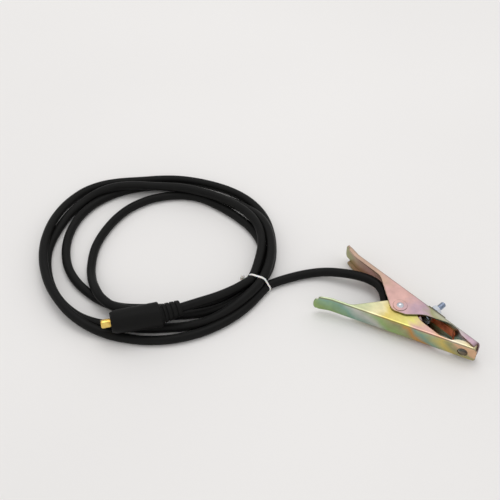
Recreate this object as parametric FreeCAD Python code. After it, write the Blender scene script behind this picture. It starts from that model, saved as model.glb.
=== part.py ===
import FreeCAD, Part
import math
import os

from FreeCAD import Vector as V

# ---------------------------------------------------------------------------
# A spring-jaw ground clamp of stamped sheet steel, lying on its side, with its
# welding cable coiled and tied beside it and a bayonet plug on the cable's end.
# Millimetres. +Z is up along the jaw pivot, +X runs along the upper lever
# towards the jaws, and z = 0 is the surface that the clamp lies on.
# ---------------------------------------------------------------------------

# levers: two pressed channels, the inner one nested in the outer one
SHEET = 1.5
OUTER_WIDTH = 22.0
INNER_WIDTH = 18.0
TAIL_HEIGHT = 1.5             # how far the rivet's tail stands below the outer lever's boss
BOSS_RISE = 0.5
BOSS_RADIUS = 7.0
PIVOT_HEIGHT = 21.0           # pivot axis above the outer face of each lever's web
JAW_REACH = 83.5
UPPER_JAW_REACH = 82.2
UPPER_HANDLE = 86.0
LOWER_HANDLE = 77.0
UPPER_TONGUE = 7.0            # how far the web's round end stands out past the flanges
LOWER_TONGUE = 4.5
CLOSED_ANGLE = 22.5           # between the two webs with the jaws shut
BEND_RADIUS = 2.5
MID_Z = TAIL_HEIGHT + BOSS_RISE + OUTER_WIDTH / 2

# pivot
RIVET_RADIUS = 2.5
RUNNING_GAP = 0.08
SLEEVE_RADIUS = 3.6
SPRING_WIRE = 1.6
SPRING_RADIUS = 4.6
SPRING_LEG = 31.0
SPRING_TURNS = 6

# terminal on the upper jaw
STRIP_THICK = 1.5
STRIP_WIDTH = 10.0
BOLT_X = 23.5
BOLT_RADIUS = 3.0
SHANK_RADIUS = 2.65
BOLT_LENGTH = 25.0
BOLT_HEAD = 4.0
HEX_FLATS = 10.0
LUG_THICK = 2.0

# cable and its bare conductor
CABLE_RADIUS = 4.7
CONDUCTOR_RADIUS = 2.7
FLOOR_Z = CABLE_RADIUS

# coil, about its own centre; angles in degrees in the row frame
COIL_CENTRE = V(-230, -122, 0)
LAYER = 2 * CABLE_RADIUS
SECOND_LAYER = (12.0, 278.0)  # the sector where turns lie on top of other turns
TIE_ANGLE = 25.0
STRAP_WIDTH = 2.6
STRAP_THICK = 1.0

# plug: lengths are measured back from the pin's tip along its axis
PLUG_TIP = V(-181, -230, 22.2)
PLUG_HEADING = 240.0
NECK_HEADING = 250.0          # the rubber neck bends a little towards the coil
PIN_RADIUS = 4.5
PIN_SHOWS = 9.5
PLAIN_END = 8.5               # the pin is plain from its chamfer to here
RECESS_END = 17.5
BRASS_END = 52.0
BRASS_RADIUS = 8.0
SHELL_END = 58.0
NECK_LENGTH = 21.0
NECK_FRONT = 9.8              # the neck's radius at its two ends
NECK_REAR = 8.0
CABLE_INTO_NECK = 7.0
FERRULE_RADIUS = 3.4
SCREWS_AT = (38.0, 46.0)
NECK_GROOVES = (2.5, 6.2, 11.0, 16.0)
GROOVE_WIDTH = 1.0

# route of the lead from inside the clamp to the tie
LEAD_ROUTE = [
    V(-13.5, -5.0, 13.0), V(-20.5, 2.5, 13.0), V(-29.5, 9.5, 13.0), V(-41.5, 12.5, 13.0),
    V(-57.0, 7.0, 12.5), V(-75.0, -2.5, 10.0), V(-91.0, -12.5, 6.5), V(-103.5, -27.0, 4.7),
    V(-112.0, -45.0, 4.7), V(-118.0, -62.0, 4.7), V(-118.6, -74.0, 4.7),
]


# ---------------------------------------------------------------------------
# helpers
# ---------------------------------------------------------------------------

def heading(angle):
    """Horizontal unit vector at that angle."""
    return V(math.cos(math.radians(angle)), math.sin(math.radians(angle)), 0)


def corner_arc(before, corner, after, radius):
    """Tangent points and middle of the arc of that radius that rounds a corner."""
    u = (before - corner).normalize()
    w = (after - corner).normalize()
    half = u.getAngle(w) / 2
    reach = radius / math.tan(half)
    inward = (u + w).normalize()
    middle = corner + inward * (radius / math.sin(half) - radius)
    return corner + u * reach, middle, corner + w * reach


def rounded_outline(corners):
    """Closed wire through (x, y, radius) corners; radius 0 leaves the corner sharp."""
    points = [V(x, y, 0) for x, y, r in corners]
    count = len(corners)
    pieces = []
    for i in range(count):
        radius = corners[i][2]
        if radius:
            pieces.append(corner_arc(points[i - 1], points[i], points[(i + 1) % count], radius))
        else:
            pieces.append((points[i],))
    edges = []
    for i in range(count):
        here, following = pieces[i], pieces[(i + 1) % count]
        if len(here) == 3:
            edges.append(Part.Arc(*here).toShape())
        if here[-1].distanceToPoint(following[0]) > 1e-6:
            edges.append(Part.LineSegment(here[-1], following[0]).toShape())
    return Part.Wire(edges)


def prism(corners, low, high):
    """Solid with that rounded outline in X and Y, from z = low to z = high."""
    face = Part.Face(rounded_outline(corners))
    face.translate(V(0, 0, low))
    return face.extrude(V(0, 0, high - low))


def cylinder(radius, start, end):
    """Round bar between two points."""
    return Part.makeCylinder(radius, (end - start).Length, start, end - start)


def hexagon_bar(flats, start, end):
    """Hexagonal bar between two points."""
    corner = flats / math.sqrt(3)
    ring = [V(corner * math.cos(math.radians(60 * i)), corner * math.sin(math.radians(60 * i)), 0)
            for i in range(7)]
    bar = Part.Face(Part.makePolygon(ring)).extrude(V(0, 0, (end - start).Length))
    bar.Placement = FreeCAD.Placement(start, FreeCAD.Rotation(V(0, 0, 1), end - start))
    return bar


def turned_corners(bar, flats, start, end, both):
    """Cuts a hexagonal bar's corners back on a 30 degree cone at its end, or at both ends."""
    axis = (end - start).normalize()
    length = (end - start).Length
    rim = flats / 2 * 0.96
    reach = flats
    drop = (reach - rim) * math.tan(math.radians(30))
    cone = Part.makeCone(reach, rim, drop, end - axis * drop, axis)
    keep = cone.fuse(cylinder(reach, end - axis * (length + 1), end - axis * drop))
    bar = bar.common(keep)
    return turned_corners(bar, flats, end, start, False) if both else bar


def tube_path(route):
    """Straight runs joined by tangent arcs as large as their two runs allow."""
    edges, radii, at = [], [], route[0]
    for before, corner, after in zip(route, route[1:], route[2:]):
        turn = math.pi - (before - corner).getAngle(after - corner)
        run = min((before - corner).Length, (after - corner).Length)
        radius = 0.45 * run / math.tan(turn / 2)
        start, middle, end = corner_arc(before, corner, after, radius)
        edges += [Part.LineSegment(at, start).toShape(), Part.Arc(start, middle, end).toShape()]
        radii.append(radius)
        at = end
    edges.append(Part.LineSegment(at, route[-1]).toShape())
    return Part.Wire(edges), radii


def tube(name, route, radius):
    """Round tube along a route. Prints its length, radii and how well its volume agrees."""
    path, radii = tube_path(route)
    profile = Part.Wire(Part.makeCircle(radius, route[0], route[1] - route[0]))
    solid = path.makePipeShell([profile], True, True)
    if solid.Volume < 0:
        solid.reverse()
    expected = math.pi * radius ** 2 * path.Length
    print(f"{name}: length {path.Length:.1f} mm, smallest radius {min(radii):.1f} mm,",
          "radii", [round(r, 1) for r in radii], f"volume ratio {solid.Volume / expected:.4f}")
    return solid


# ---------------------------------------------------------------------------
# levers
# ---------------------------------------------------------------------------

def lever_outline(handle, strip):
    """Side outline shared by both levers: h grows from the web's outer face to the pivot."""
    return [
        (JAW_REACH, 0, 0),
        (12 - handle, 0, 20), (-handle, -2.5, 0),
        (-handle, strip - 3.0, 1.2), (12 - handle, strip, 20),
        (-2.5 - (31 - strip) / 0.675, strip, 14),
        (-2.5, 31.0, 8.5), (11.0, 25.5, 7), (23.0, 13.0, 22), (47.0, 2.6, 20),
        (57.5, 2.6, 2), (63.5, 6.0, 3), (78.0, 7.4, 8), (JAW_REACH, 7.4, 1.2),
    ]


def lever(handle, strip, width, reach, tongue):
    """Pressed channel: web of sheet on the low side, two flanges with the side outline."""
    low, high = MID_Z - width / 2, MID_Z + width / 2
    far = 60.0
    body = prism(lever_outline(handle, strip), low, high)
    inside = prism([
        (JAW_REACH + 5, SHEET, 0), (12 - handle, SHEET, 20), (-handle - 5, SHEET - 2.5 * 17 / 12, 0),
        (-handle - 5, far, 0), (JAW_REACH + 5, far, 0)], low + SHEET, high - SHEET)
    bends = [e for e in body.Edges
             if e.BoundBox.YMax < 0.01 and e.BoundBox.ZLength < 0.01 and e.BoundBox.XLength > 3]
    body = body.makeFillet(BEND_RADIUS, bends)
    # past the handle's flanges the web runs on as a round-ended tongue
    flare = 2.5 / 12
    back, end = 3 - handle, -handle - tongue
    floor = [-(12 - handle - x) * flare for x in (back, end)]
    sheet = prism([(back, floor[0], 0), (end, floor[1], 0), (end, floor[1] + SHEET, 0),
                   (back, floor[0] + SHEET, 0)], low + BEND_RADIUS, high - BEND_RADIUS)
    channel = body.cut(inside).fuse(sheet)
    # the blank's four corners are rounded
    jaw_radius, handle_radius = 5.5, 7.5
    trim = Part.makeBox(handle + tongue + reach, width, far + 10, V(-handle - tongue, 0, -5))
    for radius, side in ((jaw_radius, 1), (handle_radius, -1)):
        corners = [e for e in trim.Edges if e.BoundBox.ZLength > far and e.BoundBox.XMin * side > 0
                   and min(e.BoundBox.YMin, width - e.BoundBox.YMax) < 0.01]
        trim = trim.makeFillet(radius, [e for e in corners if e.BoundBox.YLength < 0.01])
    trim.rotate(V(0, 0, 0), V(1, 0, 0), 90)
    trim.translate(V(0, far, low))
    channel = channel.common(trim)
    channel.translate(V(0, -PIVOT_HEIGHT, 0))
    return channel


def make_lower_lever():
    body = lever(LOWER_HANDLE, 3.0, INNER_WIDTH, JAW_REACH, LOWER_TONGUE)
    pivot_hole = Part.makeCylinder(RIVET_RADIUS + RUNNING_GAP, 60, V(0, 0, -10))
    web_hole = cylinder(5.0, V(70.5, -PIVOT_HEIGHT - 5, MID_Z), V(70.5, -PIVOT_HEIGHT + 4, MID_Z))
    body = body.cut(pivot_hole).cut(web_hole)
    body.rotate(V(0, 0, 0), V(0, 0, 1), CLOSED_ANGLE)
    return body


def make_upper_lever():
    body = lever(UPPER_HANDLE, 6.0, OUTER_WIDTH, UPPER_JAW_REACH, UPPER_TONGUE)
    body = body.mirror(V(0, 0, 0), V(0, 1, 0))
    low, high = MID_Z - OUTER_WIDTH / 2, MID_Z + OUTER_WIDTH / 2
    bosses = [Part.makeCylinder(BOSS_RADIUS, BOSS_RISE, V(0, 0, high)),
              Part.makeCylinder(BOSS_RADIUS, BOSS_RISE, V(0, 0, low - BOSS_RISE))]
    hollow = Part.makeCylinder(BOSS_RADIUS - SHEET, OUTER_WIDTH - 2 * SHEET + 2 * BOSS_RISE,
                               V(0, 0, low + SHEET - BOSS_RISE))
    pivot_hole = Part.makeCylinder(RIVET_RADIUS, 60, V(0, 0, -10))
    window = Part.makeBox(11.0, 8.0, 14.0, V(6.5, PIVOT_HEIGHT - 5, MID_Z - 7))
    window = window.makeFillet(2.0, [e for e in window.Edges if e.BoundBox.YLength > 7])
    bolt_hole = cylinder(BOLT_RADIUS + 0.3, V(BOLT_X, PIVOT_HEIGHT - 6, MID_Z),
                         V(BOLT_X, PIVOT_HEIGHT + 6, MID_Z))
    body = body.fuse(bosses).cut(hollow)
    return body.cut(pivot_hole).cut(window).cut(bolt_hole).removeSplitter()


# ---------------------------------------------------------------------------
# pivot
# ---------------------------------------------------------------------------

def make_pivot_rivet():
    top = MID_Z + OUTER_WIDTH / 2 + BOSS_RISE
    shank = Part.makeCylinder(RIVET_RADIUS, top + 0.5 - 0.5, V(0, 0, 0.5))
    dome = Part.makeSphere(4.2, V(0, 0, top - 2.2)).common(Part.makeBox(20, 20, 5, V(-10, -10, top)))
    tail = Part.makeCone(3.5, 3.7, TAIL_HEIGHT, V(0, 0, 0))
    return shank.fuse([dome, tail]).removeSplitter()


def make_pivot_sleeve():
    length = INNER_WIDTH - 2 * SHEET - 0.2
    low = V(0, 0, MID_Z - length / 2)
    return Part.makeCylinder(SLEEVE_RADIUS, length, low).cut(
        Part.makeCylinder(RIVET_RADIUS + 0.05, length, low))


def make_torsion_spring():
    """Coils round the sleeve, with a leg along the inside of each lever's web."""
    wire = SPRING_WIRE / 2
    reach = math.degrees(math.asin((PIVOT_HEIGHT - SHEET - wire - 0.3 - SPRING_RADIUS) / SPRING_LEG))
    upper_leg_heading = 180 - reach
    lower_leg_heading = 180 + CLOSED_ANGLE + reach
    begin_angle = lower_leg_heading + 90 - 360
    turns = SPRING_TURNS + (upper_leg_heading - 90 - begin_angle) / 360
    rise = INNER_WIDTH - 2 * SHEET - 2 * (wire + 0.25)
    helix = Part.makeHelix(rise / turns, rise, SPRING_RADIUS)
    helix.rotate(V(0, 0, 0), V(0, 0, 1), begin_angle)
    helix.translate(V(0, 0, MID_Z - rise / 2))
    path = Part.Wire(helix)
    begin, finish = path.OrderedVertexes[0].Point, path.OrderedVertexes[-1].Point
    tangent = path.OrderedEdges[0].tangentAt(path.OrderedEdges[0].FirstParameter)
    coil = path.makePipeShell([Part.Wire(Part.makeCircle(wire, begin, tangent))], True, True)
    legs = [cylinder(wire, begin, begin + heading(lower_leg_heading) * SPRING_LEG),
            cylinder(wire, finish, finish + heading(upper_leg_heading) * SPRING_LEG)]
    bends = [Part.makeSphere(wire, begin), Part.makeSphere(wire, finish)]
    return coil.fuse(legs + bends)


# ---------------------------------------------------------------------------
# terminal on the upper jaw: strip, lug, bolt, plate, washers and nut
# ---------------------------------------------------------------------------

WEB_INNER = PIVOT_HEIGHT - SHEET
STRIP_INNER = WEB_INNER - STRIP_THICK
LUG_INNER = STRIP_INNER - LUG_THICK
PLATE_THICK = 2.0


def stacked_hole(low, high, extra):
    return cylinder(BOLT_RADIUS + extra, V(BOLT_X, low - 1, MID_Z), V(BOLT_X, high + 1, MID_Z))


def make_contact_strip():
    """Copper strip under the lug, its jaw end turned towards the other jaw."""
    straight_end, tip = 54.0, 5.0
    drop = math.radians(50)
    outer_end = V(straight_end + tip * math.cos(drop), WEB_INNER - tip * math.sin(drop), 0)
    side = V(-math.sin(drop), -math.cos(drop), 0) * STRIP_THICK
    inner_end = outer_end + side
    strip = prism([
        (15.0, WEB_INNER, 0), (15.0, STRIP_INNER, 0), (straight_end - 0.8, STRIP_INNER, 2.0),
        (inner_end.x, inner_end.y, 0), (outer_end.x, outer_end.y, 0), (straight_end, WEB_INNER, 3.5),
    ], MID_Z - STRIP_WIDTH / 2, MID_Z + STRIP_WIDTH / 2)
    ends = [e for e in strip.Edges if abs(e.BoundBox.XMax - 15.0) < 0.01 and e.BoundBox.YLength > 1
            and e.BoundBox.ZLength < 0.01]
    return strip.makeFillet(4.0, ends).cut(stacked_hole(STRIP_INNER, WEB_INNER, 0.3))


def make_cable_lug():
    """Palm flat on the strip, barrel turned square to it past the pivot's jaw side."""
    palm_start, palm_end, barrel_x = 11.5, 30.0, 13.0
    palm = Part.makeBox(palm_end - palm_start, LUG_THICK, 11.0, V(palm_start, LUG_INNER, MID_Z - 5.5))
    palm = palm.makeFillet(5.0, [e for e in palm.Edges
                                 if e.BoundBox.XMin > palm_end - 0.1 and e.BoundBox.YLength > 1
                                 and e.BoundBox.ZLength < 0.01])
    barrel = cylinder(4.2, V(barrel_x, -1.5, MID_Z), V(barrel_x, LUG_INNER, MID_Z))
    bore = cylinder(CONDUCTOR_RADIUS, V(barrel_x, -3, MID_Z), V(barrel_x, 12.0, MID_Z))
    lug = palm.fuse(barrel).removeSplitter().cut(bore)
    room_for_head = cylinder(6.0, V(BOLT_X, 5, MID_Z), V(BOLT_X, LUG_INNER, MID_Z))
    return lug.cut(room_for_head).cut(stacked_hole(LUG_INNER, STRIP_INNER, 0.3))


def make_terminal_bolt():
    """Bolt from inside the jaw. Its body is a little slimmer than the thread's crest at the free end."""
    seat, top = V(BOLT_X, LUG_INNER, MID_Z), V(BOLT_X, LUG_INNER - BOLT_HEAD, MID_Z)
    head = turned_corners(hexagon_bar(HEX_FLATS, top, seat), HEX_FLATS, seat, top, False)
    plain_end = NUT_LOW + NUT_THICK + 0.3
    shank = cylinder(SHANK_RADIUS, seat, V(BOLT_X, plain_end, MID_Z))
    thread = cylinder(BOLT_RADIUS, V(BOLT_X, plain_end, MID_Z),
                      V(BOLT_X, LUG_INNER + BOLT_LENGTH, MID_Z))
    end = [e for e in thread.Edges if e.BoundBox.YMin > LUG_INNER + BOLT_LENGTH - 0.1
           and e.BoundBox.XLength > 1]
    return head.fuse([shank, thread.makeChamfer(0.6, end)]).removeSplitter()


def make_backing_plate():
    start, length, width = 17.5, 21.5, 16.0
    plate = Part.makeBox(length, PLATE_THICK, width, V(start, PIVOT_HEIGHT, MID_Z - width / 2))
    plate = plate.makeFillet(1.5, [e for e in plate.Edges if e.BoundBox.YLength > 1])
    return plate.cut(stacked_hole(PIVOT_HEIGHT, PIVOT_HEIGHT + PLATE_THICK, 0.3))


def terminal_ring(radius, thick, low):
    ring = cylinder(radius, V(BOLT_X, low, MID_Z), V(BOLT_X, low + thick, MID_Z))
    return ring.cut(stacked_hole(low, low + thick, 0.2))


FLAT_LOW = PIVOT_HEIGHT + PLATE_THICK
FLAT_THICK = 1.2
SPLIT_LOW = FLAT_LOW + FLAT_THICK
SPLIT_THICK = 1.5
NUT_LOW = SPLIT_LOW + SPLIT_THICK
NUT_THICK = 5.0


def make_split_washer():
    ring = terminal_ring(4.9, SPLIT_THICK, SPLIT_LOW)
    slit = Part.makeBox(0.8, 5, 8, V(BOLT_X - 0.4, SPLIT_LOW - 1, MID_Z))
    slit.rotate(V(BOLT_X, SPLIT_LOW, MID_Z + 4), V(0, 0, 1), 25)
    return ring.cut(slit)


def make_terminal_nut():
    low, high = V(BOLT_X, NUT_LOW, MID_Z), V(BOLT_X, NUT_LOW + NUT_THICK, MID_Z)
    nut = turned_corners(hexagon_bar(HEX_FLATS, low, high), HEX_FLATS, low, high, True)
    return nut.cut(cylinder(SHANK_RADIUS, V(BOLT_X, NUT_LOW - 1, MID_Z), high + V(0, 1, 0)))


# ---------------------------------------------------------------------------
# cable: conductor end, lead, coil, tail and tie
# ---------------------------------------------------------------------------

def make_conductor_end():
    """Bare stranded conductor round the pivot, from the end of the sheath into the lug."""
    start = LEAD_ROUTE[0]
    ahead = (LEAD_ROUTE[0] - LEAD_ROUTE[1]).normalize()
    return tube("conductor_end", [
        start, start + ahead * 6.0, V(-1.0, -13.2, MID_Z), V(8.5, -12.5, MID_Z),
        V(13.0, -5.5, MID_Z), V(13.0, 7.0, MID_Z)], CONDUCTOR_RADIUS)


# Radius of the outermost and the innermost strand's centreline, every 15 degrees from 0: a
# hand-wound coil, pinched at the tie and fanned out on the far side of it.
COIL_OUTER = [
    118.8, 120.8, 122.5, 121.6, 124.2, 126.8, 126.0, 121.8, 118.6, 117.6, 117.6, 125.4,
    132.0, 128.8, 124.4, 121.6, 119.5, 119.0, 119.0, 117.9, 116.0, 116.1, 116.5, 117.4,
]
COIL_INNER = [
    91.5, 99.2, 106.5, 112.0, 109.8, 103.2, 97.8, 95.8, 94.3, 89.2, 84.3, 79.0,
    73.3, 69.5, 68.3, 69.0, 71.0, 74.7, 80.9, 83.0, 78.5, 75.0, 76.2, 83.5,
]


def around(radii, angle):
    """Radius at any angle, from values every 15 degrees."""
    step = (angle % 360) / 15
    low = int(step)
    share = step - low
    return radii[low % 24] * (1 - share) + radii[(low + 1) % 24] * share


def coil_outer(angle):
    return around(COIL_OUTER, angle)


def coil_inner(angle):
    return around(COIL_INNER, angle)


def coil_point(radius, angle, z=0.0):
    a = math.radians(angle)
    return COIL_CENTRE + V(radius * math.cos(a), radius * math.sin(a), z)


def closed_curve(radius_at):
    points = [coil_point(radius_at(angle), angle) for angle in range(0, 360, 15)]
    curve = Part.BSplineCurve()
    curve.interpolate(Points=points, PeriodicFlag=True)
    return Part.Wire(curve.toShape())


def ring(outer, inner, height):
    face = Part.Face([closed_curve(outer), closed_curve(inner)])
    face.validate()
    return face.extrude(V(0, 0, height))


def make_cable_coil():
    """One layer of cable all round, and a second one except where the plug lies on it."""
    first = ring(lambda a: coil_outer(a) + CABLE_RADIUS,
                 lambda a: coil_inner(a) - CABLE_RADIUS, LAYER)
    second = ring(lambda a: coil_outer(a) + 1.0,
                  lambda a: max(coil_inner(a), coil_outer(a) - 22.0) - 1.0, LAYER)
    second.translate(V(0, 0, LAYER))
    start, end = SECOND_LAYER
    far = 400.0
    corners = [coil_point(0, 0)] + [coil_point(far, start + (end - start) * i / 4) for i in range(5)]
    sector = Part.Face(Part.makePolygon(corners + corners[:1])).extrude(V(0, 0, 3 * LAYER))
    groove, hollow = strap_loop(0.1)
    return first.fuse(second.common(sector)).removeSplitter().cut(groove.cut(hollow))


def plug_point(back):
    """Point on the plug's axis, measured back from the pin's tip."""
    return PLUG_TIP - heading(PLUG_HEADING) * back


def neck_point(back):
    """Point on the neck's axis, measured back from the rear of the shell's body."""
    return plug_point(SHELL_END) - heading(NECK_HEADING) * back


def make_cable_tail():
    """From the second layer beside the tie, rising over the coil into the plug's neck."""
    return tube("cable_tail", [
        coil_point(101.0, SECOND_LAYER[0], 15.2), coil_point(95.8, 0, 17.8),
        neck_point(NECK_LENGTH + 17), neck_point(NECK_LENGTH - CABLE_INTO_NECK)], CABLE_RADIUS)


def tie_frame(shape):
    """Stands a shape drawn in X and Y across the bundle: X to the coil's outside, Y up."""
    outside = coil_outer(TIE_ANGLE) + CABLE_RADIUS
    inside = coil_inner(TIE_ANGLE) - CABLE_RADIUS
    shape.rotate(V(0, 0, 0), V(1, 0, 0), 90)
    shape.rotate(V(0, 0, 0), V(0, 0, 1), TIE_ANGLE)
    shape.translate(coil_point((outside + inside) / 2, TIE_ANGLE))
    return shape


def tie_half_width():
    """Half of the room inside the strap: three strands side by side."""
    return 3 * CABLE_RADIUS + 0.4


def strap_loop(grow=0.0):
    """Band round the bundle, its underside on the surface that the cable lies on."""
    half = tie_half_width()
    high = 2 * LAYER + 0.3
    t = STRAP_THICK + grow
    outer = prism([(-half - t, -grow, 6), (half + t, -grow, 6),
                   (half + t, high + t, 9), (-half - t, high + t, 9)],
                  -STRAP_WIDTH / 2 - grow, STRAP_WIDTH / 2 + grow)
    inner = prism([(-half, STRAP_THICK, 5), (half, STRAP_THICK, 5),
                   (half, high, 8), (-half, high, 8)], -STRAP_WIDTH, STRAP_WIDTH)
    return tie_frame(outer), tie_frame(inner)


def make_tie_strap():
    outer, inner = strap_loop()
    return outer.cut(inner)


def make_tie_head():
    """Ratchet head on the inner side of the bundle, with the strap's cut end in it."""
    head = Part.makeBox(3.4, 4.6, 4.4)
    head.translate(V(-tie_half_width() - STRAP_THICK - 3.4, 7.0, -2.2))
    return tie_frame(head)


def plug_turned(profile):
    """Solid of revolution about the plug's axis; profile is (back, radius) corners from the axis."""
    points = [V(back, radius, 0) for back, radius in profile]
    solid = Part.Face(Part.makePolygon(points + points[:1])).revolve(V(0, 0, 0), V(1, 0, 0), 360)
    solid.rotate(V(0, 0, 0), V(0, 0, 1), PLUG_HEADING + 180)
    solid.translate(PLUG_TIP)
    return solid


def set_screw(back, radius, low, high):
    """Bar square to the plug's axis, from above, between two heights over the axis."""
    at = plug_point(back)
    return cylinder(radius, at + V(0, 0, low), at + V(0, 0, high))


def make_plug_pin():
    """Brass pin and clamping barrel in one piece, with the bayonet nub in the shell's recess."""
    body = plug_turned([(0, 0), (0, PIN_RADIUS - 1), (1, PIN_RADIUS), (PLAIN_END, PIN_RADIUS),
                        (PLAIN_END, PIN_RADIUS - 0.3), (PLAIN_END + 1, PIN_RADIUS - 0.3),
                        (PLAIN_END + 1, PIN_RADIUS), (RECESS_END, PIN_RADIUS),
                        (RECESS_END, BRASS_RADIUS), (BRASS_END, BRASS_RADIUS),
                        (BRASS_END, FERRULE_RADIUS), (33.0, FERRULE_RADIUS), (33.0, 0)])
    nub = Part.makeBox(3.0, 3.0, 3.4, V(12.5, -1.5, PIN_RADIUS - 1.2))
    nub.rotate(V(0, 0, 0), V(0, 0, 1), PLUG_HEADING + 180)
    nub.translate(PLUG_TIP)
    body = body.fuse(nub)
    for back in SCREWS_AT:
        body = body.cut(set_screw(back, 3.0, 0.0, BRASS_RADIUS + 1))
    return body


def make_plug_set_screws():
    screws = []
    for back in SCREWS_AT:
        screw = set_screw(back, 3.0, FERRULE_RADIUS, 7.2)
        socket = hexagon_bar(3.0, plug_point(back) + V(0, 0, 5.0), plug_point(back) + V(0, 0, 8.0))
        screws.append(screw.cut(socket))
    return Part.makeCompound(screws)


def make_plug_ferrule():
    """Copper sleeve crimped over the strands, so that the screws don't cut them."""
    return plug_turned([(33.5, CONDUCTOR_RADIUS), (33.5, FERRULE_RADIUS), (50.0, FERRULE_RADIUS),
                        (50.0, CONDUCTOR_RADIUS)]).cut(
        set_screw(SCREWS_AT[0], 3.0, FERRULE_RADIUS, 9)).cut(
        set_screw(SCREWS_AT[1], 3.0, FERRULE_RADIUS, 9))


def make_plug_conductor():
    return tube("plug_conductor", [
        neck_point(NECK_LENGTH - CABLE_INTO_NECK), neck_point(0), plug_point(34.0)],
        CONDUCTOR_RADIUS)


def make_plug_shell():
    """Rubber shell: open recess round the pin, tapered body, and a ribbed neck on the cable."""
    body = plug_turned([
        (PIN_SHOWS, 9.2), (PIN_SHOWS, 9.8), (PIN_SHOWS + 1.6, 11.2), (SHELL_END - 2.5, 12.7),
        (SHELL_END - 0.8, 12.2), (SHELL_END, 11.0), (SHELL_END, 0), (BRASS_END, 0),
        (BRASS_END, BRASS_RADIUS), (RECESS_END, BRASS_RADIUS), (RECESS_END, 9.2)])
    ribs = [(-6.0, 0.0), (-6.0, NECK_FRONT)]
    for groove in NECK_GROOVES:
        outer = NECK_FRONT + (NECK_REAR - NECK_FRONT) * groove / NECK_LENGTH
        ribs += [(groove - GROOVE_WIDTH / 2, outer), (groove - GROOVE_WIDTH / 2, outer - 0.9),
                 (groove + GROOVE_WIDTH / 2, outer - 0.9), (groove + GROOVE_WIDTH / 2, outer)]
    ribs += [(NECK_LENGTH - 0.8, NECK_REAR), (NECK_LENGTH, NECK_REAR - 0.8), (NECK_LENGTH, 0.0)]
    points = [V(back, radius, 0) for back, radius in ribs]
    neck = Part.Face(Part.makePolygon(points + points[:1])).revolve(V(0, 0, 0), V(1, 0, 0), 360)
    neck.rotate(V(0, 0, 0), V(0, 0, 1), NECK_HEADING + 180)
    neck.translate(neck_point(0))
    shell = body.fuse(neck.cut(plug_turned([(0, 0), (0, 15), (BRASS_END, 15), (BRASS_END, 0)])))
    cable_bore = cylinder(CABLE_RADIUS, neck_point(NECK_LENGTH - CABLE_INTO_NECK),
                          neck_point(NECK_LENGTH + 5))
    strand_bore = cylinder(4.0, neck_point(0), neck_point(NECK_LENGTH))
    joint = Part.makeSphere(4.0, neck_point(0))
    entry = cylinder(4.0, plug_point(BRASS_END), neck_point(0))
    return shell.cut([cable_bore, strand_bore, joint, entry])


NODES = {
    "upper_lever": make_upper_lever,
    "lower_lever": make_lower_lever,
    "pivot_rivet": make_pivot_rivet,
    "pivot_sleeve": make_pivot_sleeve,
    "torsion_spring": make_torsion_spring,
    "contact_strip": make_contact_strip,
    "cable_lug": make_cable_lug,
    "terminal_bolt": make_terminal_bolt,
    "backing_plate": make_backing_plate,
    "flat_washer": lambda: terminal_ring(6.0, FLAT_THICK, FLAT_LOW),
    "split_washer": make_split_washer,
    "terminal_nut": make_terminal_nut,
    "conductor_end": make_conductor_end,
    "cable_lead": lambda: tube("cable_lead", LEAD_ROUTE, CABLE_RADIUS),
    "cable_coil": make_cable_coil,
    "cable_tail": make_cable_tail,
    "tie_strap": make_tie_strap,
    "tie_head": make_tie_head,
    "plug_pin": make_plug_pin,
    "plug_shell": make_plug_shell,
    "plug_set_screws": make_plug_set_screws,
    "plug_ferrule": make_plug_ferrule,
    "plug_conductor": make_plug_conductor,
}

os.makedirs("parts", exist_ok=True)
for name, make in NODES.items():
    shape = make()
    print(name, "valid", shape.isValid(), "solids", len(shape.Solids), "volume", round(shape.Volume, 1))
    shape.exportStep(f"parts/{name}.step")
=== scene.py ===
import math

import bmesh
import bpy
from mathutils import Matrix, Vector


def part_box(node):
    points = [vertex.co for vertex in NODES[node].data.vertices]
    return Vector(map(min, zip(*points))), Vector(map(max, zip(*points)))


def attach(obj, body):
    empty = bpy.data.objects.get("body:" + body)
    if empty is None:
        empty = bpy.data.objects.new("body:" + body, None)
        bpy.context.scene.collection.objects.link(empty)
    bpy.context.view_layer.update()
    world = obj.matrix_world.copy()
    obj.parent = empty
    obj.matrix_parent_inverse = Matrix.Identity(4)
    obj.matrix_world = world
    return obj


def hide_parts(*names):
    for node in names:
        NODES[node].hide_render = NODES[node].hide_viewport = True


# A spring-jaw ground clamp on its side, with its coiled cable and bayonet plug.
# Metres, in the CAD frame: +Z up along the pivot, +X along the upper lever to the jaws.
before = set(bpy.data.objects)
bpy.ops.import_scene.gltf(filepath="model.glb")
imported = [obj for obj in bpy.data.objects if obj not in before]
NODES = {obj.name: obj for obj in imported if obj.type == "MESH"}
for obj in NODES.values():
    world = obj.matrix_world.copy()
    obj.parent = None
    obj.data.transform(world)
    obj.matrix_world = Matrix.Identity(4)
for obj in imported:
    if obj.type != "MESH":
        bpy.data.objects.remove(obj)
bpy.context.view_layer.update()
FIXED, MOVING = "fixed_jaw", "moving_jaw"
MM = 0.001
UP = Vector((0, 0, 1))
MID_HEIGHT = 13 * MM      # half way up the clamp, which lies on its side
CLOSED_ANGLE = 22.5       # between the two levers' webs with the jaws shut


# ---------------------------------------------------------------------------
# camera
# ---------------------------------------------------------------------------

CAMERA_AT = (0.3148, -0.4901, 0.7079)
CAMERA_TARGET = Vector((-0.1711, -0.0432, 0.0))
LENS, SENSOR_WIDTH = 64.8, 36.0


def make_camera():
    data = bpy.data.cameras.new("camera")
    data.lens = LENS
    data.sensor_width = SENSOR_WIDTH
    camera = bpy.data.objects.new("camera", data)
    bpy.context.scene.collection.objects.link(camera)
    camera.location = CAMERA_AT
    camera.rotation_mode = "QUATERNION"
    camera.rotation_quaternion = (CAMERA_TARGET - camera.location).to_track_quat("-Z", "Y")
    bpy.context.scene.camera = camera


make_camera()


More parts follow.
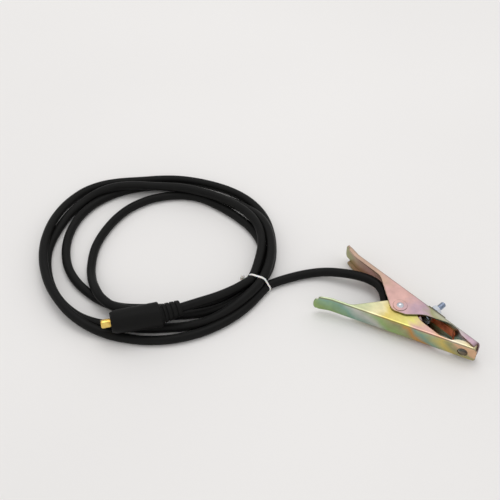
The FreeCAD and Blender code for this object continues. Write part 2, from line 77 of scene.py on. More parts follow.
# ---------------------------------------------------------------------------
# cable: one smooth line from inside the clamp, round the coil and into the plug
# ---------------------------------------------------------------------------

CABLE_RADIUS = 4.7 * MM
COIL_CENTRE = Vector((-0.230, -0.122, 0))
TIE_ANGLE = 25

LEAD_ROUTE = [
    (-0.0135, -0.0050, 0.0130), (-0.0205, 0.0025, 0.0130), (-0.0295, 0.0095, 0.0130),
    (-0.0415, 0.0125, 0.0135), (-0.0570, 0.0075, 0.0138), (-0.0750, -0.0018, 0.0112),
    (-0.0910, -0.0118, 0.0074), (-0.1035, -0.0268, 0.0049), (-0.1120, -0.0450, 0.0047),
    (-0.1180, -0.0620, 0.0047),
]

ON_FLOOR = 4.7            # height of a strand's middle where it lies on the floor, in millimetres

# Each turn from the tie back to the tie, clockwise from above. A step is the degrees past the tie,
# the strand's distance from the coil's centre in millimetres, and its height where it is lifted off
# the floor. A strand on top of another one is at about 14. The coil is uneven, so its steps are
# listed one by one and not given by a formula.
TURNS = [
    [(0, 123.2), (13, 120.2), (25, 118.8), (40, 117.4), (55, 116.5), (70, 116.1), (85, 116, 4.8),
     (93, 116.5, 6), (100, 117.9, 8.2), (108, 118.6, 10.8), (115, 119, 12.8), (130, 119, 13.8),
     (145, 119.5, 13.9), (160, 121.6, 13.4), (175, 124.4, 12), (188, 128.8, 8), (197, 131.8, 5),
     (205, 132.4), (213, 129.6), (220, 125.4), (227, 121), (235, 117.4), (245, 117), (255, 117.8),
     (265, 118.6), (275, 120.4), (285, 123.4), (295, 126), (305, 127.2), (315, 126.2), (325, 124),
     (335, 122.2), (345, 121), (353, 118.5)],
    [(0, 114), (15, 106), (25, 101), (35, 95.7), (44, 90.5), (53, 86.5), (63, 84.5, 6),
     (71, 85, 10.5), (79, 86.5, 13.8), (87, 88, 14.1), (95, 89, 14.1), (105, 86, 14.1),
     (110, 83.5, 14), (115, 80.9, 12.6), (123, 77.5, 9.5), (130, 74.7, 7), (140, 72.2, 4.9),
     (160, 69), (175, 68.3), (190, 69.5), (205, 73.3), (220, 79), (235, 84.3), (245, 87.5),
     (255, 90.8), (265, 94.3), (275, 95.8), (285, 96), (295, 97.8), (305, 101), (315, 105.7),
     (325, 110), (335, 112.6), (345, 112), (353, 108.5)],
    [(0, 104.6), (15, 96.6), (25, 91.5), (35, 86), (44, 81), (53, 77), (63, 75), (71, 75),
     (79, 76.5), (87, 79), (95, 81.8), (105, 84), (115, 86), (130, 90.7), (145, 95.5), (160, 99.4),
     (175, 103.5), (190, 107.6), (205, 109.4), (220, 108.5), (235, 106.6), (245, 105.5),
     (255, 104.4), (265, 103.8), (275, 104.8), (285, 108), (295, 113.2), (302, 116.4, 5.5),
     (310, 118.9, 9.8), (320, 120.9, 13), (330, 121, 14), (340, 120.8, 14.1), (350, 120, 13.8)],
    [(0, 118.7, 12.9), (10, 115.5, 12.6), (20, 112.5, 11), (30, 110, 8), (40, 107, 5.5),
     (50, 103.3), (58, 101), (70, 101), (85, 102.8), (95, 107.2), (102, 110.5), (110, 113.6),
     (122, 116), (135, 116.9), (150, 117.8), (165, 118.8), (185, 119), (197, 118.6, 5.5),
     (205, 117, 8.5), (212, 113, 12.2), (220, 108.6, 13.6), (230, 102, 14), (240, 97, 13.4),
     (250, 95, 13.8), (260, 95.5, 14.1), (270, 96.2, 14.1), (280, 98, 14.1), (290, 101.2, 14.1),
     (300, 105.7, 14.1), (310, 109.8, 14.1), (320, 112.3, 14), (330, 111.8, 13.8),
     (340, 110, 13.2)],
]


def coil_point(radius, angle, height):
    """Point round the coil's centre, in metres and degrees."""
    a = math.radians(angle)
    return COIL_CENTRE + Vector((radius * math.cos(a), radius * math.sin(a), height))


def coil_turns():
    """Points of all the turns, one after another."""
    points = []
    for steps in TURNS:
        for past, radius, *lifted in steps:
            height = lifted[0] if lifted else ON_FLOOR
            points.append(coil_point(radius * MM, TIE_ANGLE - past, height * MM))
    return points


def heading(angle):
    """Horizontal unit vector at that angle."""
    return Vector((math.cos(math.radians(angle)), math.sin(math.radians(angle)), 0))


PLUG_TIP = Vector((-0.181, -0.230, 0.0222))
PLUG_HEADING, NECK_HEADING = 240, 250
BODY_END, NECK_END = 58.0, 79.0      # of the rubber shell, in millimetres back from the pin's tip
SHELL_END = BODY_END * MM
NECK_LENGTH = (NECK_END - BODY_END) * MM
CABLE_INTO_NECK = 7 * MM


def plug_point(back):
    """Point on the plug's axis, measured back from the pin's tip."""
    return PLUG_TIP - heading(PLUG_HEADING) * back


def neck_point(back):
    """Point on the rubber neck's axis, measured back from the shell's rear."""
    return plug_point(SHELL_END) - heading(NECK_HEADING) * back


TAIL_ROUTE = [
    coil_point(109.3 * MM, TIE_ANGLE, 12.9 * MM), coil_point(105.5 * MM, 20, 13.6 * MM),
    coil_point(101 * MM, 12, 15.2 * MM), coil_point(95.8 * MM, 0, 17.8 * MM),
    neck_point(NECK_LENGTH + 17 * MM), neck_point(NECK_LENGTH - CABLE_INTO_NECK),
]


def nurbs(name, points, radius=0.0, sides=8):
    """Smooth open curve with those control points, round in section. Radius 0 gives a bare line.

    The points carry the radius, so that the curve's bounding box fits its tube.
    """
    curve = bpy.data.curves.new(name, "CURVE")
    curve.dimensions = "3D"
    curve.resolution_u = 8
    curve.bevel_depth = 1.0 if radius else 0.0
    curve.bevel_resolution = sides
    curve.use_fill_caps = True
    spline = curve.splines.new("NURBS")
    spline.points.add(len(points) - 1)
    for point, at in zip(spline.points, points):
        point.co = (*at, 1)
        point.radius = radius
    spline.order_u = 3
    spline.use_endpoint_u = True
    made = bpy.data.objects.new(name, curve)
    bpy.context.scene.collection.objects.link(made)
    return made


cable = nurbs("welding_cable", [Vector(p) for p in LEAD_ROUTE] + coil_turns() + TAIL_ROUTE,
              CABLE_RADIUS)
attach(cable, FIXED)
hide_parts("cable_lead", "cable_coil", "cable_tail")


# ---------------------------------------------------------------------------
# building materials from nodes
# ---------------------------------------------------------------------------

def linear(r, g, b):
    """A colour as seen on a screen, 0 to 1, turned into the renderer's linear numbers."""
    return tuple(c / 12.92 if c <= 0.04045 else ((c + 0.055) / 1.055) ** 2.4 for c in (r, g, b)) + (1,)


class Finish:
    """A material under construction. Socket values are numbers, colours or another node's output."""

    def __init__(self, name, **settings):
        self.material = bpy.data.materials.new(name)
        self.material.use_nodes = True
        self.tree = self.material.node_tree
        self.surface = self.tree.nodes["Principled BSDF"]
        self.set(**settings)

    def fill(self, node, values):
        for name, value in values.items():
            socket = node.inputs[name]
            if isinstance(value, bpy.types.NodeSocket):
                self.tree.links.new(value, socket)
            else:
                socket.default_value = value

    def set(self, **settings):
        self.fill(self.surface, {name.replace("_", " "): value for name, value in settings.items()})

    def add(self, kind, values=None, **settings):
        node = self.tree.nodes.new("ShaderNode" + kind)
        for name, value in settings.items():
            setattr(node, name, value)
        self.fill(node, values or {})
        return node

    def place(self, scale=(1, 1, 1), turn=0.0):
        """Position on the piece in metres, turned about Z by some degrees and then scaled."""
        at = self.add("TexCoord").outputs["Object"]
        if turn:
            at = self.add("Mapping", {"Vector": at, "Rotation": (0, 0, math.radians(turn))}).outputs[0]
        return self.add("Mapping", {"Vector": at, "Scale": scale}).outputs[0]

    def noise(self, scale, where=None, detail=3.0, roughness=0.5, distortion=0.0):
        values = {"Scale": scale, "Detail": detail, "Roughness": roughness, "Distortion": distortion}
        values["Vector"] = where or self.place()
        return self.add("TexNoise", values).outputs["Fac"]

    def sum(self, operation, a, b=0.0, clamp=False):
        return self.add("Math", {0: a, 1: b}, operation=operation, use_clamp=clamp).outputs[0]

    def remap(self, value, low, high, to_low=0.0, to_high=1.0):
        return self.add("MapRange", {"Value": value, "From Min": low, "From Max": high,
                                     "To Min": to_low, "To Max": to_high}).outputs[0]

    def ramp(self, factor, stops):
        node = self.add("ValToRGB", {"Fac": factor})
        elements = node.color_ramp.elements
        while len(elements) < len(stops):
            elements.new(1.0)
        for element, (at, colour) in zip(elements, stops):
            element.position = at
            element.color = linear(*colour)
        return node.outputs["Color"]

    def mix(self, factor, a, b, blend="MIX"):
        node = self.add("Mix", data_type="RGBA", blend_type=blend)
        self.fill(node, {0: factor, 6: a, 7: b})
        return node.outputs[2]

    def bump(self, height, distance, strength=1.0, normal=None):
        values = {"Height": height, "Distance": distance, "Strength": strength}
        if normal is not None:
            values["Normal"] = normal
        return self.add("Bump", values).outputs[0]

    def soft_edges(self, radius):
        """Normal that rounds the edges of a sheet-metal or machined piece."""
        return self.add("Bevel", {"Radius": radius}, samples=4).outputs[0]


# ---------------------------------------------------------------------------
# the materials
# ---------------------------------------------------------------------------

def banded_film(f, lengthwise, upright, flange_bands, web_bands, start, end):
    """The film's colour along a lever from start to end, banded one way on flanges, another on the web."""
    apart = f.add("SeparateXYZ", {0: lengthwise})
    wander = f.noise(26, f.place(scale=(1.0, 1.6, 1.6)), detail=3, roughness=0.55, distortion=0.6)
    drift = f.sum("MULTIPLY", f.sum("SUBTRACT", wander, 0.5), 0.36)
    along = f.sum("ADD", f.remap(apart.outputs["X"], start, end), drift)
    across = f.sum("MULTIPLY", f.sum("SUBTRACT", apart.outputs["Z"], MID_HEIGHT), 9.0)
    flange = f.ramp(along, flange_bands)
    web = f.ramp(f.sum("ADD", along, across), web_bands)
    return f.mix(f.remap(upright, 0.45, 0.8), web, flange)


def open_sheet(f, upright):
    """1 on the open sheet, less along its folds and its cut edges, where a dark reflection is painted in
    as shade.
    """
    off_fold = f.sum("MULTIPLY", f.sum("ABSOLUTE", f.sum("SUBTRACT", upright, 0.74)), 4.5, clamp=True)
    rounded = f.soft_edges(1.1 * MM)
    true_normal = f.add("NewGeometry").outputs["Normal"]
    off_cut = f.add("VectorMath", {0: rounded, 1: true_normal}, operation="DOT_PRODUCT")
    return f.sum("MULTIPLY", off_fold, f.remap(off_cut.outputs["Value"], 0.80, 0.97))


def yellow_zinc(name, turn, flange_bands, web_bands, start, end):
    """Yellow passivated zinc: its film drifts from gold to green, teal and pink along a lever. Its folds
    and cut edges are painted dark brown, as shade for the dark reflection of the bends.
    """
    f = Finish(name, Metallic=1.0)
    facing = f.add("SeparateXYZ", {0: f.add("TexCoord").outputs["Normal"]}).outputs["Z"]
    upright = f.sum("ABSOLUTE", facing)
    colour = banded_film(f, f.place(turn=turn), upright, flange_bands, web_bands, start, end)
    cloud = f.ramp(f.noise(90, detail=5, roughness=0.6), [(0.30, (0.80, 0.80, 0.80)), (0.72, (1, 1, 1))])
    colour = f.mix(0.55, colour, cloud, "MULTIPLY")
    # painted shade: the folds and cut edges are mixed toward dark brown, standing in for the dark
    # reflection that the rounded bends show
    painted_fold_shade = f.remap(open_sheet(f, upright), 0.0, 1.0, 0.72, 0.0)
    colour = f.mix(painted_fold_shade, colour, linear(0.30, 0.22, 0.12))
    rolled = f.noise(260, f.place(scale=(0.06, 1, 1), turn=turn), detail=4, roughness=0.7)
    specks = f.noise(1500, detail=2)
    relief = f.sum("ADD", f.sum("MULTIPLY", rolled, 0.7), f.sum("MULTIPLY", specks, 0.3))
    f.set(Base_Color=colour, Roughness=f.remap(rolled, 0.3, 0.75, 0.27, 0.44),
          Normal=f.bump(relief, 0.02 * MM, 0.6, f.soft_edges(0.35 * MM)))
    return f.material


def bright_zinc(name, tint):
    """Bright zinc plating of that tint, a little duller where it is worn."""
    f = Finish(name, Metallic=1.0)
    worn = f.noise(300, detail=4, roughness=0.6)
    colour = f.mix(f.remap(worn, 0.35, 0.7), linear(*tint), linear(*[c * 0.86 for c in tint]))
    f.set(Base_Color=colour, Roughness=f.remap(worn, 0.3, 0.7, 0.18, 0.34),
          Normal=f.bump(f.noise(900), 0.015 * MM, 0.6, f.soft_edges(0.15 * MM)))
    return f.material


def spring_steel():
    """Drawn spring wire."""
    f = Finish("spring_steel", Metallic=1.0)
    drawn = f.noise(500, detail=3)
    f.set(Base_Color=f.ramp(drawn, [(0.3, (0.40, 0.39, 0.38)), (0.7, (0.56, 0.55, 0.53))]),
          Roughness=0.34, Normal=f.bump(drawn, 0.01 * MM, 0.5))
    return f.material


def dark_plate():
    """Olive-brown plate with scuffs. Its dark colour is partly its own and partly painted shade, for the
    shadow it lies in beside the nut.
    """
    f = Finish("dark_plate", Metallic=0.8)
    scuffs = f.noise(420, detail=5, roughness=0.7)
    # the dark olive-brown is partly painted shade
    f.set(Base_Color=f.ramp(scuffs, [(0.35, (0.30, 0.28, 0.20)), (0.75, (0.42, 0.39, 0.28))]),
          Roughness=f.remap(scuffs, 0.3, 0.7, 0.4, 0.6),
          Normal=f.bump(scuffs, 0.03 * MM, 0.6, f.soft_edges(0.25 * MM)))
    return f.material


def copper(name, bright, dull, roughness):
    """Bare copper with duller, browner patches."""
    f = Finish(name, Metallic=1.0)
    patches = f.noise(140, detail=5, roughness=0.65)
    f.set(Base_Color=f.mix(f.remap(patches, 0.38, 0.66), linear(*bright), linear(*dull)),
          Roughness=f.remap(patches, 0.3, 0.7, roughness, roughness + 0.16),
          Normal=f.bump(f.noise(700), 0.02 * MM, 0.5, f.soft_edges(0.2 * MM)))
    return f.material


def turned_brass():
    """Brass with the fine rings of the lathe about the plug's axis."""
    f = Finish("turned_brass", Metallic=1.0)
    lengthwise = f.place(turn=-PLUG_HEADING)
    rings = f.add("TexWave", {"Vector": lengthwise, "Scale": 900.0, "Distortion": 1.0, "Detail": 2.0},
                  bands_direction="X").outputs["Fac"]
    tarnish = f.noise(160, detail=4)
    f.set(Base_Color=f.mix(f.remap(tarnish, 0.4, 0.7), linear(0.93, 0.80, 0.45),
                           linear(0.80, 0.62, 0.28)),
          Roughness=f.remap(tarnish, 0.3, 0.7, 0.16, 0.30),
          Normal=f.bump(rings, 0.01 * MM, 0.5, f.soft_edges(0.15 * MM)))
    return f.material


def black_rubber(name, low, high, roughness, grain):
    """Matt black rubber with a fine grain and a little pale dust."""
    f = Finish(name, Specular_IOR_Level=0.09)
    mottle = f.noise(70, detail=4, roughness=0.6)
    fine = f.noise(1400, detail=2)
    f.set(Base_Color=f.mix(mottle, linear(*[low] * 3), linear(high, high, high * 0.97)),
          Roughness=f.remap(mottle, 0.3, 0.7, roughness - 0.05, roughness + 0.07),
          Normal=f.bump(fine, grain, 0.7))
    return f.material


def white_nylon():
    """Slightly translucent white nylon."""
    f = Finish("white_nylon", Roughness=0.38, Subsurface_Weight=0.15, Subsurface_Scale=1.0 * MM)
    cloud = f.noise(300)
    f.set(Base_Color=f.ramp(cloud, [(0.3, (0.90, 0.90, 0.89)), (0.7, (0.96, 0.96, 0.95))]),
          Normal=f.bump(f.noise(1200), 0.01 * MM, 0.5))
    return f.material


# colours of the plating's film, as seen on a screen
GOLD, LEMON, STRAW = (0.86, 0.78, 0.46), (0.90, 0.87, 0.52), (0.92, 0.88, 0.70)
PINK, MAUVE, PEACH = (0.87, 0.71, 0.68), (0.78, 0.67, 0.72), (0.88, 0.72, 0.58)
GREEN, TEAL, OLIVE = (0.64, 0.74, 0.50), (0.56, 0.70, 0.64), (0.66, 0.66, 0.50)
SAGE, ROSE = (0.74, 0.79, 0.64), (0.81, 0.69, 0.61)
ORANGE, SILVER, CREAM = (0.82, 0.60, 0.34), (0.80, 0.80, 0.77), (0.94, 0.90, 0.82)

upper_plating = yellow_zinc(
    "yellow_zinc_upper", 0.0,
    [(0.0, ROSE), (0.24, ROSE), (0.36, PINK), (0.50, PINK), (0.60, MAUVE), (0.66, OLIVE),
     (0.80, SILVER), (1.0, MAUVE)],
    [(0.0, OLIVE), (0.2, PINK), (0.34, PEACH), (0.5, STRAW), (0.65, OLIVE), (0.8, TEAL), (1.0, MAUVE)],
    -0.086, 0.0835)
lower_plating = yellow_zinc(
    "yellow_zinc_lower", -CLOSED_ANGLE,
    [(0.0, SAGE), (0.20, SAGE), (0.34, STRAW), (0.42, GOLD), (0.56, LEMON), (0.66, PINK), (0.76, PEACH),
     (0.88, CREAM), (1.0, STRAW)],
    [(0.0, GREEN), (0.16, TEAL), (0.32, SILVER), (0.44, GREEN), (0.56, OLIVE), (0.64, ORANGE),
     (0.72, TEAL), (0.84, GOLD), (0.94, OLIVE), (1.0, PEACH)],
    -0.077, 0.0835)
BRIGHT = bright_zinc("bright_zinc", (0.86, 0.88, 0.91))
BLUE_ZINC = bright_zinc("blue_zinc", (0.70, 0.75, 0.84))
COPPER = copper("copper_strip", (0.88, 0.52, 0.36), (0.66, 0.34, 0.20), 0.28)
STRANDS = copper("copper_strands", (0.84, 0.53, 0.36), (0.60, 0.34, 0.20), 0.30)
BRASS = turned_brass()
SHEATH = black_rubber("sheath_rubber", 0.060, 0.105, 0.46, 0.03 * MM)
MOULDED = black_rubber("moulded_rubber", 0.065, 0.095, 0.52, 0.02 * MM)
NYLON = white_nylon()
SPRING = spring_steel()


def paint(piece, material):
    piece.data.materials.clear()
    piece.data.materials.append(material)


CAD_FINISHES = {
    "upper_lever": upper_plating, "lower_lever": lower_plating, "pivot_rivet": BRIGHT,
    "pivot_sleeve": BRIGHT, "contact_strip": COPPER, "cable_lug": COPPER, "backing_plate": dark_plate(),
    "flat_washer": BRIGHT, "split_washer": BLUE_ZINC, "terminal_nut": BRIGHT, "plug_pin": BRASS,
    "plug_set_screws": BLUE_ZINC, "plug_ferrule": COPPER, "plug_conductor": STRANDS,
}
for cad_name, finish in CAD_FINISHES.items():
    paint(NODES[cad_name], finish)
paint(cable, SHEATH)


# ---------------------------------------------------------------------------
# building meshes
# ---------------------------------------------------------------------------

def mesh_piece(name, points, faces, material, body):
    """Smooth-shaded mesh that rides on a body."""
    made = bpy.data.meshes.new(name)
    made.from_pydata([tuple(p) for p in points], [], faces)
    shape = bmesh.new()
    shape.from_mesh(made)
    bmesh.ops.recalc_face_normals(shape, faces=shape.faces)
    shape.to_mesh(made)
    shape.free()
    for polygon in made.polygons:
        polygon.use_smooth = True
    piece = bpy.data.objects.new(name, made)
    bpy.context.scene.collection.objects.link(piece)
    piece.data.materials.append(material)
    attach(piece, body)
    return piece


def skin(rings, closed=False, start=0):
    """Points and faces over a row of rings, each with as many points. Open rows get end caps."""
    count = len(rings[0])
    points = [p for ring in rings for p in ring]
    faces = []
    for i in range(len(rings) if closed else len(rings) - 1):
        here, there = i * count, (i + 1) % len(rings) * count
        for j in range(count):
            k = (j + 1) % count
            faces.append((start + here + j, start + here + k, start + there + k, start + there + j))
    if not closed:
        last = (len(rings) - 1) * count
        faces.append(tuple(start + j for j in range(count)))
        faces.append(tuple(start + last + j for j in range(count)))
    return points, faces


def circle(centre, u, v, radius, count):
    """Points evenly round a centre in the plane of u and v."""
    return [centre + (u * math.cos(math.tau * i / count) + v * math.sin(math.tau * i / count)) * radius
            for i in range(count)]


def sharpen(piece, degrees):
    """Keeps edges sharper than that angle crisp under smooth shading."""
    shape = bmesh.new()
    shape.from_mesh(piece.data)
    for edge in shape.edges:
        if len(edge.link_faces) == 2 and edge.calc_face_angle(0) > math.radians(degrees):
            edge.smooth = False
    shape.to_mesh(piece.data)
    shape.free()


# ---------------------------------------------------------------------------
# bolt with a cut thread
# ---------------------------------------------------------------------------

def make_bolt():
    """Hexagon-headed bolt. Its thread winds from the head to the chamfered end."""
    low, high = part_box("terminal_bolt")
    x, z = (low.x + high.x) / 2, (low.z + high.z) / 2
    crest, depth, pitch = 3.0 * MM, 0.55 * MM, 1.0 * MM
    head, count, chamfer = 4.0 * MM, 36, 0.7 * MM
    flats = high.z - low.z

    def ring(y, radius_at):
        points = []
        for i in range(count):
            angle = math.tau * i / count
            radius = radius_at(angle)
            points.append(Vector((x + radius * math.cos(angle), y, z + radius * math.sin(angle))))
        return points

    def hexagon(rim):
        def radius_at(angle):
            off = (angle + math.pi / 6) % (math.pi / 3) - math.pi / 6
            return min(flats / 2 / math.cos(off), rim)
        return radius_at

    def thread(y):
        def radius_at(angle):
            phase = ((y - low.y) / pitch + angle / math.tau) % 1
            cut = depth * max(0.0, 1 - abs(phase - 0.5) * 2.6)
            left = high.y - y
            return min(crest - cut, crest - chamfer + left)
        return radius_at

    corner = flats / math.sqrt(3)
    rings = [ring(low.y, hexagon(flats * 0.40)), ring(low.y + 0.02 * MM, hexagon(flats * 0.47)),
             ring(low.y + 0.5 * MM, hexagon(corner * 0.985)), ring(low.y + 0.9 * MM, hexagon(corner)),
             ring(low.y + head - 0.05 * MM, hexagon(corner)), ring(low.y + head, hexagon(corner))]
    y = low.y + head
    while y < high.y:
        rings.append(ring(y, thread(y)))
        y += pitch / 8
    rings.append(ring(high.y, thread(high.y)))
    points, faces = skin(rings)
    bolt = mesh_piece("terminal_bolt_threaded", points, faces, BLUE_ZINC, FIXED)
    sharpen(bolt, 40)
    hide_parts("terminal_bolt")


# ---------------------------------------------------------------------------
# torsion spring: the lowest half turn and its leg go with the moving jaw
# ---------------------------------------------------------------------------

def make_spring():
    """Coil round the pivot, with a leg along the inside of each lever's web."""
    low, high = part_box("torsion_spring")
    wire, radius, leg, turns = 0.8 * MM, 4.6 * MM, 31 * MM, 6
    web_inside, clearance = (21.0 - 1.5) * MM, 0.3 * MM
    bottom, top = low.z + wire, high.z - wire
    reach = math.degrees(math.asin((web_inside - clearance - wire - radius) / leg))
    upper_leg, lower_leg = 180 - reach, 180 + CLOSED_ANGLE + reach
    # each leg runs on from the coil along its tangent
    begin = lower_leg - 270
    sweep = 360 * turns + upper_leg - 90 - begin

    def coil(first, last):
        steps = max(2, round((last - first) / 15))
        points = []
        for i in range(steps + 1):
            turned = first + (last - first) * i / steps
            at = heading(begin + turned) * radius
            points.append(Vector((at.x, at.y, bottom + (top - bottom) * turned / sweep)))
        return points

    half = 180
    lower = coil(0, half)
    lower_tip = lower[0] + heading(lower_leg) * leg
    moving = nurbs("spring_lower_leg", [lower_tip, lower[0].lerp(lower_tip, 0.06)] + lower, wire, 4)
    upper = coil(half, sweep)
    upper_tip = upper[-1] + heading(upper_leg) * leg
    fixed = nurbs("spring_coils", upper + [upper[-1].lerp(upper_tip, 0.06), upper_tip], wire, 4)
    for piece, body in ((moving, MOVING), (fixed, FIXED)):
        paint(piece, SPRING)
        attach(piece, body)
    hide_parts("torsion_spring")


# ---------------------------------------------------------------------------
# bare conductor: twisted copper strands from the sheath's end into the lug
# ---------------------------------------------------------------------------

def centreline(curve_piece):
    """Points down the middle of a curve, as Blender's own spline gives them."""
    bare = bpy.data.objects.new("bare", curve_piece.data.copy())
    bare.data.bevel_depth = 0
    line = bpy.data.meshes.new_from_object(bare)
    points = [v.co.copy() for v in line.vertices]
    bpy.data.meshes.remove(line)
    bpy.data.curves.remove(bare.data)
    return points


def make_strands():
    """Eleven strands laid round a core, along a smooth path beside the pivot."""
    start, second = Vector(LEAD_ROUTE[0]), Vector(LEAD_ROUTE[1])
    ahead = (start - second).normalized()
    route = [start - ahead * 2 * MM, start + ahead * 6 * MM, Vector((-0.0010, -0.0132, MID_HEIGHT)),
             Vector((0.0085, -0.0125, MID_HEIGHT)), Vector((0.0130, -0.0055, MID_HEIGHT)),
             Vector((0.0130, 0.0070, MID_HEIGHT))]
    guide = nurbs("guide", route)
    line = centreline(guide)
    bpy.data.objects.remove(guide)
    lay_radius, strand_radius, pitch = 2.05 * MM, 0.58 * MM, 30 * MM
    count, sides = 11, 6
    frames, turned = [], 0.0
    for i, at in enumerate(line):
        before, after = line[max(0, i - 1)], line[min(len(line) - 1, i + 1)]
        forward = (after - before).normalized()
        side = forward.cross(UP).normalized()
        if i:
            turned += (at - line[i - 1]).length / pitch * math.tau
        frames.append((at, side, turned))
    points, faces = [], []
    for strand in range(count):
        rings = []
        for at, side, turned in frames:
            angle = turned + math.tau * strand / count
            centre = at + (side * math.cos(angle) + UP * math.sin(angle)) * lay_radius
            rings.append(circle(centre, side, UP, strand_radius, sides))
        more_points, more_faces = skin(rings, start=len(points))
        points += more_points
        faces += more_faces
    core = [circle(at, side, UP, lay_radius - strand_radius * 0.6, 16) for at, side, _ in frames]
    more_points, more_faces = skin(core, start=len(points))
    piece = mesh_piece("conductor_strands", points + more_points, faces + more_faces, STRANDS, FIXED)
    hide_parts("conductor_end")


# ---------------------------------------------------------------------------
# tie: a nylon strap drawn tight round the five strands, and its ratchet head
# ---------------------------------------------------------------------------

# the five strands' distance from the coil's centre and height, in millimetres
TIE_BUNDLE = [(123.2, 4.7), (114.0, 4.7), (104.6, 4.7), (118.7, 12.9), (109.3, 12.9)]
INNERMOST = 104.6
STRAP_THICK, STRAP_WIDTH = 1.0, 2.1
RATCHET_THICK, RATCHET_LIES_AT = 3.3, 8.6     # its middle's height, in millimetres, is the second


def tie_place(radius, height, sideways=0.0):
    """Point in the tie's plane, from radius and height in millimetres, moved along the cable."""
    at = coil_point(radius * MM, TIE_ANGLE, height * MM)
    return at + heading(TIE_ANGLE + 90) * sideways * MM


def strap_path():
    """Middle of the strap's thickness round the bundle, and its outward direction at each point."""
    middle = CABLE_RADIUS / MM + STRAP_THICK / 2 + 0.05
    path = []
    for i in range(180):
        angle = math.tau * i / 180
        out = Vector((math.cos(angle), math.sin(angle)))
        furthest = max(TIE_BUNDLE, key=lambda c: out.dot(Vector(c)))
        path.append((Vector(furthest) + out * middle, out))
    loop = []
    for (a, out_a), (b, out_b) in zip(path, path[1:] + path[:1]):
        steps = max(1, round((b - a).length / 0.5))
        loop += [(a.lerp(b, k / steps), out_a.lerp(out_b, k / steps).normalized()) for k in range(steps)]
    return loop


def make_tie_band():
    """Strap with rounded edges and fine ridges across it."""
    half_thick, half_width, ridge = STRAP_THICK / 2, STRAP_WIDTH / 2, 0.05
    rings = []
    for i, (at, out) in enumerate(strap_path()):
        lift = ridge if i % 2 == 0 else -ridge
        section = [(-half_thick, -half_width + 0.3), (-half_thick + 0.25, -half_width),
                   (half_thick - 0.3, -half_width), (half_thick + lift, -half_width + 0.35),
                   (half_thick + lift, half_width - 0.35), (half_thick - 0.3, half_width),
                   (-half_thick + 0.25, half_width), (-half_thick, half_width - 0.3)]
        ring = []
        for outward, sideways in section:
            p = at + out * outward
            ring.append(tie_place(p.x, max(p.y, 0.0), sideways))
        rings.append(ring)
    points, faces = skin(rings, closed=True)
    strap = mesh_piece("tie_band", points, faces, NYLON, FIXED)
    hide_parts("tie_strap")
    return strap


def make_tie_ratchet():
    """Block with a slot for the strap, and the strap's stub standing out of it."""
    head = bmesh.new()
    bmesh.ops.create_cube(head, size=1.0)
    bmesh.ops.scale(head, vec=(RATCHET_THICK, 4.5, 4.3), verts=head.verts)
    mouth = [f for f in head.faces if f.normal.y > 0.9]
    bmesh.ops.inset_region(head, faces=mouth, thickness=0.9)
    for f in mouth:
        bmesh.ops.translate(head, vec=(0, -1.6, 0), verts=f.verts)
    bmesh.ops.bevel(head, geom=[e for e in head.edges if e.calc_face_angle(0) > 0.5], offset=0.3,
                    segments=2, affect="EDGES")
    stub = bmesh.ops.create_cube(head, size=1.0)["verts"]
    bmesh.ops.scale(head, vec=(1.0, 3.4, 2.4), verts=stub)
    bmesh.ops.translate(head, vec=(0.2, 2.2, 0), verts=stub)
    data = bpy.data.meshes.new("tie_ratchet")
    head.to_mesh(data)
    head.free()
    middle = INNERMOST - CABLE_RADIUS / MM - STRAP_THICK - RATCHET_THICK / 2 - 0.05
    for v in data.vertices:
        v.co = tie_place(middle + v.co.x, RATCHET_LIES_AT + v.co.y, v.co.z)
    ratchet = bpy.data.objects.new("tie_ratchet", data)
    bpy.context.scene.collection.objects.link(ratchet)
    paint(ratchet, NYLON)
    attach(ratchet, FIXED)
    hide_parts("tie_head")
    return ratchet


# ---------------------------------------------------------------------------
# plug shell: moulded rubber, bent where the neck meets the body
# ---------------------------------------------------------------------------

MOUTH, RECESS = 9.5, 17.5            # where the rubber begins, and how deep its opening is
BORE, BRASS_BORE = 4.72, 8.05        # radii of its inside
NECK_GROOVES = (60.5, 64.2, 69.0, 74.0)


def shell_profile():
    """Millimetres back along the axis, and radius: in at the mouth, out and back, and through the bore."""
    opening = [(RECESS, 4.7), (RECESS, 9.2), (MOUTH + 0.5, 9.2), (MOUTH + 0.1, 9.25), (MOUTH, 9.35),
               (MOUTH + 0.1, 9.55), (MOUTH + 0.6, 9.95), (MOUTH + 1.5, 10.45), (MOUTH + 2.7, 10.95),
               (MOUTH + 4.2, 11.35), (MOUTH + 6.5, 11.65)]
    body = [(25, 11.9), (35, 12.15), (45, 12.45), (BODY_END - 3, 12.7), (BODY_END - 1.4, 12.7),
            (BODY_END - 0.6, 12.5), (BODY_END - 0.1, 12.0), (BODY_END + 0.1, 11.2), (BODY_END + 0.3, 10.3)]
    neck = []
    back = BODY_END + 0.8
    while back < NECK_END - 1.2:
        outer = 9.8 - 1.8 * (back - BODY_END) / (NECK_END - BODY_END)
        near = min(abs(back - groove) for groove in NECK_GROOVES)
        neck.append((back, outer - 1.0 * math.exp(-(near / 0.55) ** 4)))
        back += 0.25
    lip = [(NECK_END - 0.9, 8.0), (NECK_END - 0.4, 7.8), (NECK_END - 0.1, 7.4), (NECK_END, 7.0),
           (NECK_END, 5.1), (NECK_END - 0.5, BORE)]
    bore = [(72, BORE), (72, 3.9), (52, 3.9), (52, BRASS_BORE), (RECESS + 0.05, BRASS_BORE),
            (RECESS + 0.05, BORE)]
    return opening + body + neck + lip + bore


def shell_axis(back):
    """Centre and direction of the shell's axis, turning from the body's to the neck's."""
    share = min(1.0, max(0.0, (back - 53) / 9))
    share = share * share * (3 - 2 * share)
    towards = -heading(PLUG_HEADING + (NECK_HEADING - PLUG_HEADING) * share)
    if back * MM < SHELL_END:
        return plug_point(back * MM), towards
    return neck_point(back * MM - SHELL_END), towards


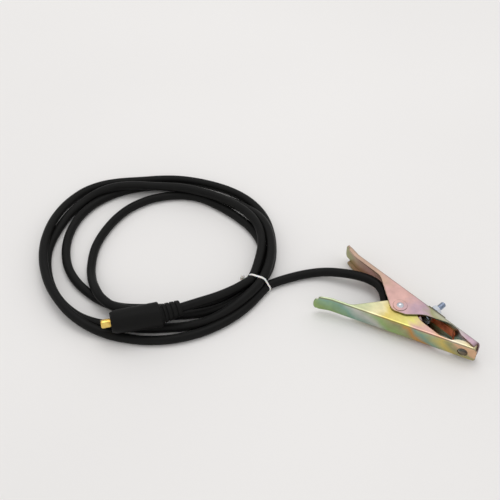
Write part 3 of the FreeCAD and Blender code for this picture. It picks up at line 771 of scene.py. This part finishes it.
def make_shell():
    """Rubber shell, turned from its profile along the bent axis."""
    sides = 72
    rings = []
    for back, radius in shell_profile():
        centre, towards = shell_axis(back)
        rings.append(circle(centre, towards.cross(UP), UP, radius * MM, sides))
    points, faces = skin(rings, closed=True)
    shell = mesh_piece("plug_shell_moulded", points, faces, MOULDED, FIXED)
    sharpen(shell, 60)
    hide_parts("plug_shell")
    return shell


make_bolt()
make_spring()
make_strands()
tie_band = make_tie_band()
tie_ratchet = make_tie_ratchet()
shell = make_shell()


# ---------------------------------------------------------------------------
# studio
# ---------------------------------------------------------------------------

def make_floor():
    """Pale floor, just under the object so that the two don't share a plane."""
    data = bpy.data.meshes.new("floor")
    reach = 6
    corners = [(-reach, -reach, 0), (reach, -reach, 0), (reach, reach, 0), (-reach, reach, 0)]
    data.from_pydata(corners, [], [(0, 1, 2, 3)])
    floor = bpy.data.objects.new("floor", data)
    floor.location.z = -0.02 * MM
    bpy.context.scene.collection.objects.link(floor)
    f = Finish("floor", Roughness=0.7, Specular_IOR_Level=0.2)
    tone = f.noise(3, detail=1)
    f.set(Base_Color=f.ramp(tone, [(0.3, (0.925, 0.92, 0.915)), (0.7, (0.935, 0.93, 0.925))]))
    paint(floor, f.material)


def area_light(name, place, target, size, power):
    """Round light at one place, turned towards another."""
    data = bpy.data.lights.new(name, "AREA")
    data.shape = "DISK"
    data.size = size
    data.energy = power
    light = bpy.data.objects.new(name, data)
    light.location = place
    light.rotation_mode = "QUATERNION"
    light.rotation_quaternion = (Vector(target) - light.location).to_track_quat("-Z", "Y")
    bpy.context.scene.collection.objects.link(light)


def make_studio():
    """Floor, even surroundings and one broad light overhead."""
    make_floor()
    world = bpy.data.worlds.new("studio")
    bpy.context.scene.world = world
    world.use_nodes = True
    background = world.node_tree.nodes["Background"]
    background.inputs["Color"].default_value = (0.95, 0.94, 0.935, 1)
    background.inputs["Strength"].default_value = 0.85
    area_light("key", (-0.45, 0.30, 1.9), (-0.1, -0.1, 0), 1.3, 8)
    bpy.context.scene.view_settings.view_transform = "Standard"


make_studio()
